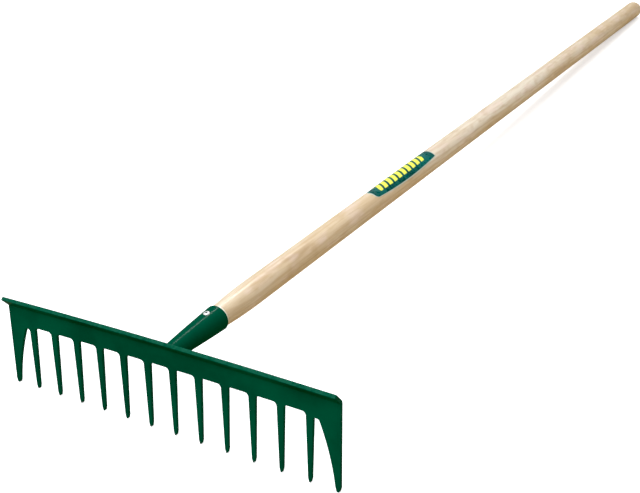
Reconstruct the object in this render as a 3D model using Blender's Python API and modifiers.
"""A garden rake: a stamped and folded steel head welded to a rolled socket, on a riveted wooden handle.

Everything is modelled in the head's own frame, in metres: X along the head, Y towards the handle,
Z up, with the front face of the plate at Y 0 and the tops of the gaps at Z 0. One empty then lays
the whole rake down, so that it rests on the tips of its teeth and on the end of its handle.
"""

import math

import bmesh
import bpy
from mathutils import Matrix, Vector

# Toothed plate
TOOTH_COUNT = 14
TOOTH_PITCH = 0.0275
TOOTH_LENGTH = 0.0640
TOOTH_ROOT_WIDTH = 0.0070
TOOTH_TIP_WIDTH = 0.0031
TIP_TAPER = 0.0040
TIP_FLAT = 0.0012
TIP_ROUNDING = 0.0009
GAP_FILLET = 0.0035
END_GAP_DROP = 0.0030
END_GAP_FILLET = 0.0022
CHEEK_TOP_WIDTH = 0.0198
CHEEK_TIP_WIDTH = 0.0046
CHEEK_HOLLOW = 0.0020
CHEEK_OVERHANG = 0.0009
PLATE_THICKNESS = 0.0035
WEB_HEIGHT = 0.0146
LIP_BEND_RADIUS = 0.0050
LIP_BEND_ANGLE = math.radians(45)
LIP_LENGTH = 0.0099
LIP_CORNER = 0.0012
HEAD_ARCH = 0.0018
TIP_ARCH = 0.0007

# Socket, rolled from sheet, on the handle's axis
AXIS_HEIGHT = 0.00386
AXIS_RISE = math.radians(5.6)
SOCKET_END_DIAMETER = 0.0140
SOCKET_MOUTH_DIAMETER = 0.0251
SOCKET_LENGTH = 0.0802
SOCKET_WALL = 0.0015
SOCKET_BELLY = 0.28
SOCKET_RIM_ROUNDING = 0.0006
SEAM_WIDTH = 0.0008

# Weld between socket and plate
WELD_LEG = 0.0030
WELD_OPENING = 0.0085

# Handle
HANDLE_END = 1.3900
HANDLE_NECK_DIAMETER = 0.0261
HANDLE_GRIP_DIAMETER = 0.0288
NECK_LENGTH = 0.0550
NOSE_INSET = 0.0220
NOSE_CHAMFER = 0.0015
DOME_DEPTH = 0.0110

# Blind rivet through the top of the socket
RIVET_SETBACK = 0.0145
RIVET_HEAD_DIAMETER = 0.0064
RIVET_HEAD_HEIGHT = 0.0011
RIVET_SHANK_DIAMETER = 0.0040
RIVET_SHANK_LENGTH = 0.0100
RIVET_BORE_DIAMETER = 0.0022
MANDREL_DIAMETER = 0.0018
MANDREL_HEAD_DIAMETER = 0.0036
MANDREL_HEAD_HEIGHT = 0.0020
MANDREL_RECESS = 0.0007
RIVET_CLEARANCE = 0.0002

# Label on the handle
LABEL_START = 0.3705
LABEL_LENGTH = 0.1480
LABEL_WIDTH = 0.0182
LABEL_SIDE_BULGE = 0.0032
LABEL_ROUNDING = 0.0095
LABEL_TURN = math.radians(10)
LABEL_THICKNESS = 0.00020

# Clearance between pieces that touch
SEAT_GAP = 0.0003

TURNED_STEPS = 48
SMALL_STEPS = 24
FILLET_STEPS = 5
BEND_STEPS = 6
SMOOTH_ANGLE = math.radians(35)

HEAD_HALF_WIDTH = (TOOTH_COUNT - 1) / 2 * TOOTH_PITCH + CHEEK_OVERHANG
SOCKET_FOOT = PLATE_THICKNESS + SEAT_GAP
SOCKET_MOUTH = SOCKET_FOOT + SOCKET_LENGTH
RIVET_DISTANCE = SOCKET_MOUTH - RIVET_SETBACK
NOSE_END = SOCKET_FOOT + NOSE_INSET
NECK_END = SOCKET_MOUTH + NECK_LENGTH
DOME_START = HANDLE_END - DOME_DEPTH


def clear_scene():
    for thing in list(bpy.data.objects):
        bpy.data.objects.remove(thing, do_unlink=True)


def new_collection(name):
    collection = bpy.data.collections.new(name)
    bpy.context.scene.collection.children.link(collection)
    return collection


def new_object(name, data, collection, parent=None):
    thing = bpy.data.objects.new(name, data)
    collection.objects.link(thing)
    thing.parent = parent
    return thing


def finish(name, colour, roughness, metallic):
    material = bpy.data.materials.new(name)
    material.use_nodes = True
    shader = material.node_tree.nodes["Principled BSDF"]
    shader.inputs["Base Color"].default_value = (*colour, 1.0)
    shader.inputs["Roughness"].default_value = roughness
    shader.inputs["Metallic"].default_value = metallic
    return material


def green_enamel():
    return finish("green_enamel", (0.003, 0.060, 0.029), 0.38, 0.0)


def sanded_wood():
    return finish("sanded_wood", (0.72, 0.53, 0.32), 0.55, 0.0)


def rivet_aluminium():
    return finish("rivet_aluminium", (0.80, 0.81, 0.82), 0.30, 1.0)


def mandrel_steel():
    return finish("mandrel_steel", (0.16, 0.16, 0.16), 0.45, 1.0)


def printed_label():
    return finish("printed_label", (0.006, 0.115, 0.105), 0.35, 0.0)


def smooth(mesh):
    mesh.shade_smooth()
    mesh.set_sharp_from_angle(angle=SMOOTH_ANGLE)


def rounded_outline(corners):
    """Points of a closed outline from its corners (x, z, radius), each corner with a round of its radius."""
    points = []
    for i, (x, z, radius) in enumerate(corners):
        corner = Vector((x, z))
        before = Vector(corners[i - 1][:2]) - corner
        after = Vector(corners[(i + 1) % len(corners)][:2]) - corner
        turn = before.angle(after)
        if radius <= 0 or math.pi - turn < math.radians(3):
            points.append(corner)
            continue
        reach = radius / math.tan(turn / 2)
        most = 0.48 * min(before.length, after.length)
        reach = min(reach, most)
        radius = reach * math.tan(turn / 2)
        middle = (before.normalized() + after.normalized()).normalized()
        centre = corner + middle * (radius / math.sin(turn / 2))
        start = corner + before.normalized() * reach - centre
        sweep = start.angle_signed(corner + after.normalized() * reach - centre)
        for step in range(FILLET_STEPS + 1):
            points.append(centre + Matrix.Rotation(-sweep * step / FILLET_STEPS, 2) @ start)
    return points


def tooth_half_width(depth):
    """Half the width of an inner tooth at a depth below the tops of the gaps."""
    share = depth / TOOTH_LENGTH
    return (TOOTH_ROOT_WIDTH + (TOOTH_TIP_WIDTH - TOOTH_ROOT_WIDTH) * share) / 2


def tooth_corners(centre, left_gap_drop, right_gap_drop, left_fillet, right_fillet):
    """Corners of one inner tooth, from its left root round the tip to its right root."""
    shoulder = TOOTH_LENGTH - TIP_TAPER
    half = tooth_half_width(shoulder)
    return [
        (centre - tooth_half_width(left_gap_drop), -left_gap_drop, left_fillet),
        (centre - half, -shoulder, TIP_ROUNDING * 2),
        (centre - TIP_FLAT / 2, -TOOTH_LENGTH, TIP_ROUNDING),
        (centre + TIP_FLAT / 2, -TOOTH_LENGTH, TIP_ROUNDING),
        (centre + half, -shoulder, TIP_ROUNDING * 2),
        (centre + tooth_half_width(right_gap_drop), -right_gap_drop, right_fillet),
    ]


def cheek_corners():
    """Corners of the wide right end tooth: its hollow inner edge, its tip and its straight outer edge."""
    top = Vector((HEAD_HALF_WIDTH - CHEEK_TOP_WIDTH, -END_GAP_DROP))
    tip = Vector((HEAD_HALF_WIDTH - CHEEK_TIP_WIDTH, -(TOOTH_LENGTH - TIP_TAPER)))
    across = (tip - top).orthogonal().normalized()
    if across.x < 0:
        across = -across
    corners = [(top.x, top.y, END_GAP_FILLET)]
    for step in range(1, 8):
        share = step / 8
        point = top.lerp(tip, share) + across * CHEEK_HOLLOW * 4 * share * (1 - share)
        corners.append((point.x, point.y, 0))
    corners.append((tip.x, tip.y, TIP_ROUNDING * 2))
    corners.append((HEAD_HALF_WIDTH - CHEEK_TIP_WIDTH + TIP_FLAT, -TOOTH_LENGTH, TIP_ROUNDING))
    corners.append((HEAD_HALF_WIDTH - TIP_FLAT, -TOOTH_LENGTH, TIP_ROUNDING))
    corners.append((HEAD_HALF_WIDTH, -(TOOTH_LENGTH - TIP_TAPER), TIP_ROUNDING * 2))
    return corners


def blank_height():
    """Height of the flat blank above the gaps: the web, the bend at mid thickness and the lip."""
    return WEB_HEIGHT + LIP_BEND_ANGLE * (LIP_BEND_RADIUS + PLATE_THICKNESS / 2) + LIP_LENGTH


def blank_outline():
    """Outline of the flat blank, left to right below and back along the lip's edge."""
    inner = []
    inner_teeth = TOOTH_COUNT - 2
    for i in range(inner_teeth):
        centre = (i - (inner_teeth - 1) / 2) * TOOTH_PITCH
        first = i == 0
        last = i == inner_teeth - 1
        inner += tooth_corners(
            centre,
            END_GAP_DROP if first else 0.0,
            END_GAP_DROP if last else 0.0,
            END_GAP_FILLET if first else GAP_FILLET,
            END_GAP_FILLET if last else GAP_FILLET,
        )
    cheek = cheek_corners()
    left_cheek = [(-x, z, radius) for x, z, radius in reversed(cheek)]
    top = blank_height()
    corners = left_cheek + inner + cheek
    corners += [(HEAD_HALF_WIDTH, top, LIP_CORNER), (-HEAD_HALF_WIDTH, top, LIP_CORNER)]
    return rounded_outline(corners)


def arched(x, height):
    """How far the head's arch lowers a point of the blank: most at its ends, less along the tips."""
    share = min(1.0, max(0.0, (height + TOOTH_LENGTH) / TOOTH_LENGTH))
    sag = TIP_ARCH + (HEAD_ARCH - TIP_ARCH) * share
    return sag * (x / HEAD_HALF_WIDTH) ** 2


def flat_blank():
    """The flat blank before folding: X and Y in its plane, the front face on top and the back face below."""
    work = bmesh.new()
    corners = [work.verts.new((point[0], point[1], PLATE_THICKNESS / 2)) for point in blank_outline()]
    front = work.faces.new(corners)
    back = bmesh.ops.extrude_face_region(work, geom=[front], use_keep_orig=True)
    lowered = [part for part in back["geom"] if isinstance(part, bmesh.types.BMVert)]
    bmesh.ops.translate(work, vec=(0, 0, -PLATE_THICKNESS), verts=lowered)
    bmesh.ops.recalc_face_normals(work, faces=work.faces)
    return work


def fold(point):
    """Folds a point of the flat blank (x, height, depth behind the front face) forward along the bend."""
    x, height, depth = point
    run = height - WEB_HEIGHT
    if run <= 0:
        return Vector((x, depth, height))
    bend_run = LIP_BEND_ANGLE * (LIP_BEND_RADIUS + PLATE_THICKNESS / 2)
    angle = LIP_BEND_ANGLE * min(1.0, run / bend_run)
    beyond = max(0.0, run - bend_run)
    radius = LIP_BEND_RADIUS + depth
    y = -LIP_BEND_RADIUS + radius * math.cos(angle) - beyond * math.sin(angle)
    z = WEB_HEIGHT + radius * math.sin(angle) + beyond * math.cos(angle)
    return Vector((x, y, z))


def toothed_plate(parts, parent):
    """The head: a flat comb with a wide tooth at each end, its top edge folded forward as a lip."""
    bend_run = LIP_BEND_ANGLE * (LIP_BEND_RADIUS + PLATE_THICKNESS / 2)
    work = flat_blank()
    heights = [WEB_HEIGHT + bend_run * step / BEND_STEPS for step in range(BEND_STEPS + 1)]
    gaps = [(i - (TOOTH_COUNT - 2) / 2) * TOOTH_PITCH for i in range(TOOTH_COUNT - 1)]
    lines = [((0, height, 0), (0, 1, 0)) for height in heights] + [((x, 0, 0), (1, 0, 0)) for x in gaps]
    for place, normal in lines:
        everything = work.verts[:] + work.edges[:] + work.faces[:]
        bmesh.ops.bisect_plane(work, geom=everything, plane_co=place, plane_no=normal, dist=0.000001)
    for vertex in work.verts:
        x, height, depth = vertex.co.x, vertex.co.y, PLATE_THICKNESS / 2 - vertex.co.z
        vertex.co = fold((x, height, depth)) - Vector((0, 0, arched(x, height)))
    bmesh.ops.recalc_face_normals(work, faces=work.faces)
    bmesh.ops.triangulate(work, faces=work.faces, quad_method="BEAUTY", ngon_method="BEAUTY")
    mesh = bpy.data.meshes.new("toothed_plate")
    work.to_mesh(mesh)
    work.free()
    plate = new_object("toothed_plate", mesh, parts, parent)
    mesh.materials.append(green_enamel())
    smooth(mesh)
    return plate


def turned(name, profile, collection, parent, closed, steps=TURNED_STEPS):
    """A shape turned about its own Z axis from a profile of (radius, z) points, listed top to bottom."""
    mesh = bpy.data.meshes.new(name)
    points = [(radius, 0.0, z) for radius, z in profile]
    edges = [(i, i + 1) for i in range(len(points) - 1)]
    if closed:
        edges.append((len(points) - 1, 0))
    mesh.from_pydata(points, edges, [])
    thing = new_object(name, mesh, collection, parent)
    screw = thing.modifiers.new("turning", "SCREW")
    screw.axis = "Z"
    screw.steps = steps
    screw.render_steps = steps
    screw.use_merge_vertices = True
    screw.merge_threshold = 0.00001
    screw.use_smooth_shade = True
    return thing


def lay_on_axis(thing):
    """Puts an object's own Z axis on the handle's axis, with its zero at the plate's front face."""
    thing.location = (0.0, 0.0, AXIS_HEIGHT)
    thing.rotation_euler = (AXIS_RISE - math.pi / 2, 0.0, 0.0)


def cut(thing, cutter, operation="DIFFERENCE"):
    boolean = thing.modifiers.new(cutter.name, "BOOLEAN")
    boolean.operation = operation
    boolean.object = cutter
    boolean.solver = "EXACT"


def box_cutter(name, low, high, cutters, parent):
    """A box between two corners in its parent's frame, kept only as a cutter."""
    mesh = bpy.data.meshes.new(name)
    work = bmesh.new()
    bmesh.ops.create_cube(work, size=1.0)
    size = Vector(high) - Vector(low)
    middle = (Vector(high) + Vector(low)) / 2
    bmesh.ops.scale(work, vec=size, verts=work.verts)
    bmesh.ops.translate(work, vec=middle, verts=work.verts)
    work.to_mesh(mesh)
    work.free()
    box = new_object(name, mesh, cutters, parent)
    box.hide_render = True
    box.display_type = "WIRE"
    return box


def socket_outer(distance):
    """Outer radius of the socket at a distance along the axis, a cone with a slight belly."""
    share = (distance - SOCKET_FOOT) / SOCKET_LENGTH
    growth = (1 + SOCKET_BELLY) * share - SOCKET_BELLY * share * share
    return (SOCKET_END_DIAMETER + (SOCKET_MOUTH_DIAMETER - SOCKET_END_DIAMETER) * growth) / 2


def socket_slope(distance):
    """How fast the socket's outer radius grows along the axis."""
    share = (distance - SOCKET_FOOT) / SOCKET_LENGTH
    growth = (1 + SOCKET_BELLY) - 2 * SOCKET_BELLY * share
    return (SOCKET_MOUTH_DIAMETER - SOCKET_END_DIAMETER) / 2 * growth / SOCKET_LENGTH


def along(start, end, count):
    """Evenly spaced values from start to end, both included."""
    return [start + (end - start) * i / count for i in range(count + 1)]


def rivet_frame(thing):
    """Puts an object's Z axis square to the top of the socket at the rivet, zero on the socket's skin."""
    out = socket_outer(RIVET_DISTANCE)
    up = Vector((0.0, -math.sin(AXIS_RISE), math.cos(AXIS_RISE)))
    forward = Vector((0.0, math.cos(AXIS_RISE), math.sin(AXIS_RISE)))
    start = Vector((0.0, 0.0, AXIS_HEIGHT))
    thing.location = start + forward * RIVET_DISTANCE + up * out
    thing.rotation_euler = (AXIS_RISE + math.atan(socket_slope(RIVET_DISTANCE)), 0.0, 0.0)


def rivet_hole_cutter(cutters, parent):
    radius = RIVET_SHANK_DIAMETER / 2 + RIVET_CLEARANCE
    top = RIVET_HEAD_HEIGHT + SEAT_GAP
    bottom = -(RIVET_SHANK_LENGTH + MANDREL_HEAD_HEIGHT + SEAT_GAP)
    profile = [(0.0, top), (radius, top), (radius, bottom), (0.0, bottom)]
    hole = turned("rivet_hole_cutter", profile, cutters, parent, False, SMALL_STEPS)
    hole.hide_render = True
    hole.display_type = "WIRE"
    rivet_frame(hole)
    return hole


def behind_plate_cutter(cutters, parent):
    """Takes away what would reach into the plate, and leaves the seat gap behind it."""
    reach = SOCKET_MOUTH_DIAMETER
    low = (-reach, -reach, -reach)
    high = (reach, SOCKET_FOOT, reach)
    return box_cutter("behind_plate_cutter", low, high, cutters, parent)


def seam_cutter(cutters, parent):
    """The open butt seam of the rolled sheet, along the socket's underside."""
    low = (-SEAM_WIDTH / 2, 0.0, -SOCKET_FOOT)
    high = (SEAM_WIDTH / 2, SOCKET_MOUTH_DIAMETER, SOCKET_MOUTH + SOCKET_WALL)
    cutter = box_cutter("seam_cutter", low, high, cutters, parent)
    lay_on_axis(cutter)
    return cutter


def socket(parts, cutters, parent, hole, behind_plate):
    """The rolled sheet cone that holds the handle, its small end cut flush with the plate's back."""
    rim = SOCKET_RIM_ROUNDING
    outside = [(socket_outer(z), z) for z in along(SOCKET_MOUTH - rim, 0.0, 14)]
    inside = [(socket_outer(z) - SOCKET_WALL, z) for z in along(0.0, SOCKET_MOUTH - rim, 14)]
    mouth = socket_outer(SOCKET_MOUTH)
    edge = [(mouth - SOCKET_WALL + rim, SOCKET_MOUTH), (mouth - rim, SOCKET_MOUTH)]
    thing = turned("socket", edge + outside + inside, parts, parent, True)
    lay_on_axis(thing)
    cut(thing, behind_plate)
    cut(thing, seam_cutter(cutters, parent))
    cut(thing, hole)
    thing.data.materials.append(green_enamel())
    return thing


def socket_weld(parts, cutters, parent, behind_plate):
    """The fillet weld over the top and sides of the socket's foot, open below where the gap begins."""
    top = SOCKET_FOOT + WELD_LEG
    inside = [(socket_outer(z) + SEAT_GAP, z) for z in along(0.0, top, 6)]
    toe = socket_outer(SOCKET_FOOT) + SEAT_GAP + WELD_LEG
    crown = socket_outer(top) + SEAT_GAP + WELD_LEG * 0.35
    outside = [(crown, top - WELD_LEG * 0.15), (toe - WELD_LEG * 0.2, SOCKET_FOOT + WELD_LEG * 0.5)]
    outside += [(toe, SOCKET_FOOT + WELD_LEG * 0.12), (toe, 0.0)]
    thing = turned("socket_weld", outside + inside, parts, parent, True)
    lay_on_axis(thing)
    reach = SOCKET_MOUTH_DIAMETER
    centre = AXIS_HEIGHT + SOCKET_FOOT * math.tan(AXIS_RISE)
    open_below = box_cutter(
        "weld_end_cutter",
        (-reach, -reach, -reach),
        (reach, reach, centre + toe - WELD_LEG - WELD_OPENING),
        cutters,
        parent,
    )
    cut(thing, behind_plate)
    cut(thing, open_below)
    thing.data.materials.append(green_enamel())
    return thing


def handle_radius(distance):
    """Radius of the wood: a nose that follows the socket, a neck that swells, and a long even taper."""
    nose = socket_outer(min(distance, SOCKET_MOUTH)) - SOCKET_WALL - SEAT_GAP
    if distance <= SOCKET_MOUTH:
        return nose
    neck = HANDLE_NECK_DIAMETER / 2
    if distance <= NECK_END:
        left = (NECK_END - distance) / NECK_LENGTH
        return neck - (neck - nose) * left * left
    share = (distance - NECK_END) / (DOME_START - NECK_END)
    return neck + (HANDLE_GRIP_DIAMETER / 2 - neck) * share


def handle(parts, parent, hole):
    """The turned wooden handle: nose in the socket, swelling neck, long taper and a domed end."""
    grip = HANDLE_GRIP_DIAMETER / 2
    dome = [(grip * math.sin(a), DOME_START + DOME_DEPTH * math.cos(a)) for a in along(0.0, math.pi / 2, 8)]
    dome[0] = (0.0, HANDLE_END)
    taper = [(handle_radius(z), z) for z in along(DOME_START, NECK_END, 12)][1:]
    neck = [(handle_radius(z), z) for z in along(NECK_END, SOCKET_MOUTH, 8)][1:]
    nose = [(handle_radius(z), z) for z in along(SOCKET_MOUTH, NOSE_END + NOSE_CHAMFER, 6)][1:]
    front = [(handle_radius(NOSE_END) - NOSE_CHAMFER, NOSE_END), (0.0, NOSE_END)]
    thing = turned("handle", dome + taper + neck + nose + front, parts, parent, False)
    lay_on_axis(thing)
    cut(thing, hole)
    thing.data.materials.append(sanded_wood())
    return thing


def rivet_shell(parts, parent):
    """The hollow body of the blind rivet: a low domed head on the socket and a shank into the wood."""
    head = RIVET_HEAD_DIAMETER / 2
    shank = RIVET_SHANK_DIAMETER / 2
    bore = RIVET_BORE_DIAMETER / 2
    under = SEAT_GAP
    crown = [
        (bore + (head - bore) * math.sin(a), under + RIVET_HEAD_HEIGHT * (0.35 + 0.65 * math.cos(a)))
        for a in along(0.0, math.pi / 2, 5)
    ]
    foot = [(head, under), (shank, under), (shank, -RIVET_SHANK_LENGTH), (bore, -RIVET_SHANK_LENGTH)]
    thing = turned("rivet_shell", crown + foot, parts, parent, True, SMALL_STEPS)
    rivet_frame(thing)
    thing.data.materials.append(rivet_aluminium())
    return thing


def rivet_mandrel(parts, parent):
    """What stays of the pulled mandrel: its head below the shank and its stem, broken off in the bore."""
    stem = MANDREL_DIAMETER / 2
    head = MANDREL_HEAD_DIAMETER / 2
    top = RIVET_HEAD_HEIGHT - MANDREL_RECESS
    shoulder = -RIVET_SHANK_LENGTH - RIVET_CLEARANCE
    bottom = shoulder - MANDREL_HEAD_HEIGHT + RIVET_CLEARANCE
    profile = [(0.0, top), (stem, top), (stem, shoulder), (head, shoulder)]
    profile += [(head * 0.9, bottom), (0.0, bottom)]
    thing = turned("rivet_mandrel", profile, parts, parent, False, SMALL_STEPS)
    rivet_frame(thing)
    thing.data.materials.append(mandrel_steel())
    return thing


def handle_label(parts, parent):
    """The sticker on top of the handle: a thin bent sheet, rounded at its lower end, with bulging sides."""
    mesh = bpy.data.meshes.new("handle_label")
    work = bmesh.new()
    bmesh.ops.create_grid(work, x_segments=16, y_segments=12, size=1.0)
    for vertex in work.verts:
        across, lengthwise = vertex.co.x, vertex.co.y
        half_width = LABEL_WIDTH / 2 + LABEL_SIDE_BULGE * (1 - lengthwise * lengthwise)
        missing = LABEL_ROUNDING * across**4 * (1 - lengthwise) / 2
        distance = LABEL_START + LABEL_LENGTH * (1 + lengthwise) / 2 + missing
        radius = handle_radius(distance) + SEAT_GAP
        angle = LABEL_TURN + across * half_width / radius
        vertex.co = (radius * math.sin(angle), -radius * math.cos(angle), distance)
    bmesh.ops.recalc_face_normals(work, faces=work.faces)
    if work.faces[0].normal.y > 0:
        bmesh.ops.reverse_faces(work, faces=work.faces)
    work.to_mesh(mesh)
    work.free()
    smooth(mesh)
    thing = new_object("handle_label", mesh, parts, parent)
    lay_on_axis(thing)
    sheet = thing.modifiers.new("sheet", "SOLIDIFY")
    sheet.thickness = LABEL_THICKNESS
    sheet.offset = 1.0
    mesh.materials.append(printed_label())
    return thing


def lay_down(rest, parts):
    """Turns and lifts the parent so that the tooth tips and the handle's end touch the floor, Z 0."""
    tip = Vector((PLATE_THICKNESS, -TOOTH_LENGTH - TIP_ARCH))
    grip = HANDLE_GRIP_DIAMETER / 2
    end = Vector((math.cos(AXIS_RISE), math.sin(AXIS_RISE))) * DOME_START
    end.y += AXIS_HEIGHT
    line = end - tip
    rest.rotation_euler.x = -(math.atan2(line.y, line.x) - math.asin(grip / line.length))
    bpy.context.view_layer.update()
    graph = bpy.context.evaluated_depsgraph_get()
    places = []
    for thing in parts.objects:
        evaluated = thing.evaluated_get(graph)
        mesh = evaluated.to_mesh()
        places += [evaluated.matrix_world @ vertex.co for vertex in mesh.vertices]
        evaluated.to_mesh_clear()
    low_y = min(place.y for place in places)
    high_y = max(place.y for place in places)
    low_z = min(place.z for place in places)
    rest.location = (0.0, -(low_y + high_y) / 2, -low_z)


def build():
    clear_scene()
    parts = new_collection("garden_rake")
    cutters = new_collection("cutters")
    rest = new_object("rest_pose", None, bpy.context.scene.collection)
    hole = rivet_hole_cutter(cutters, rest)
    behind_plate = behind_plate_cutter(cutters, rest)
    toothed_plate(parts, rest)
    socket(parts, cutters, rest, hole, behind_plate)
    socket_weld(parts, cutters, rest, behind_plate)
    handle(parts, rest, hole)
    rivet_shell(parts, rest)
    rivet_mandrel(parts, rest)
    handle_label(parts, rest)
    lay_down(rest, parts)


build()
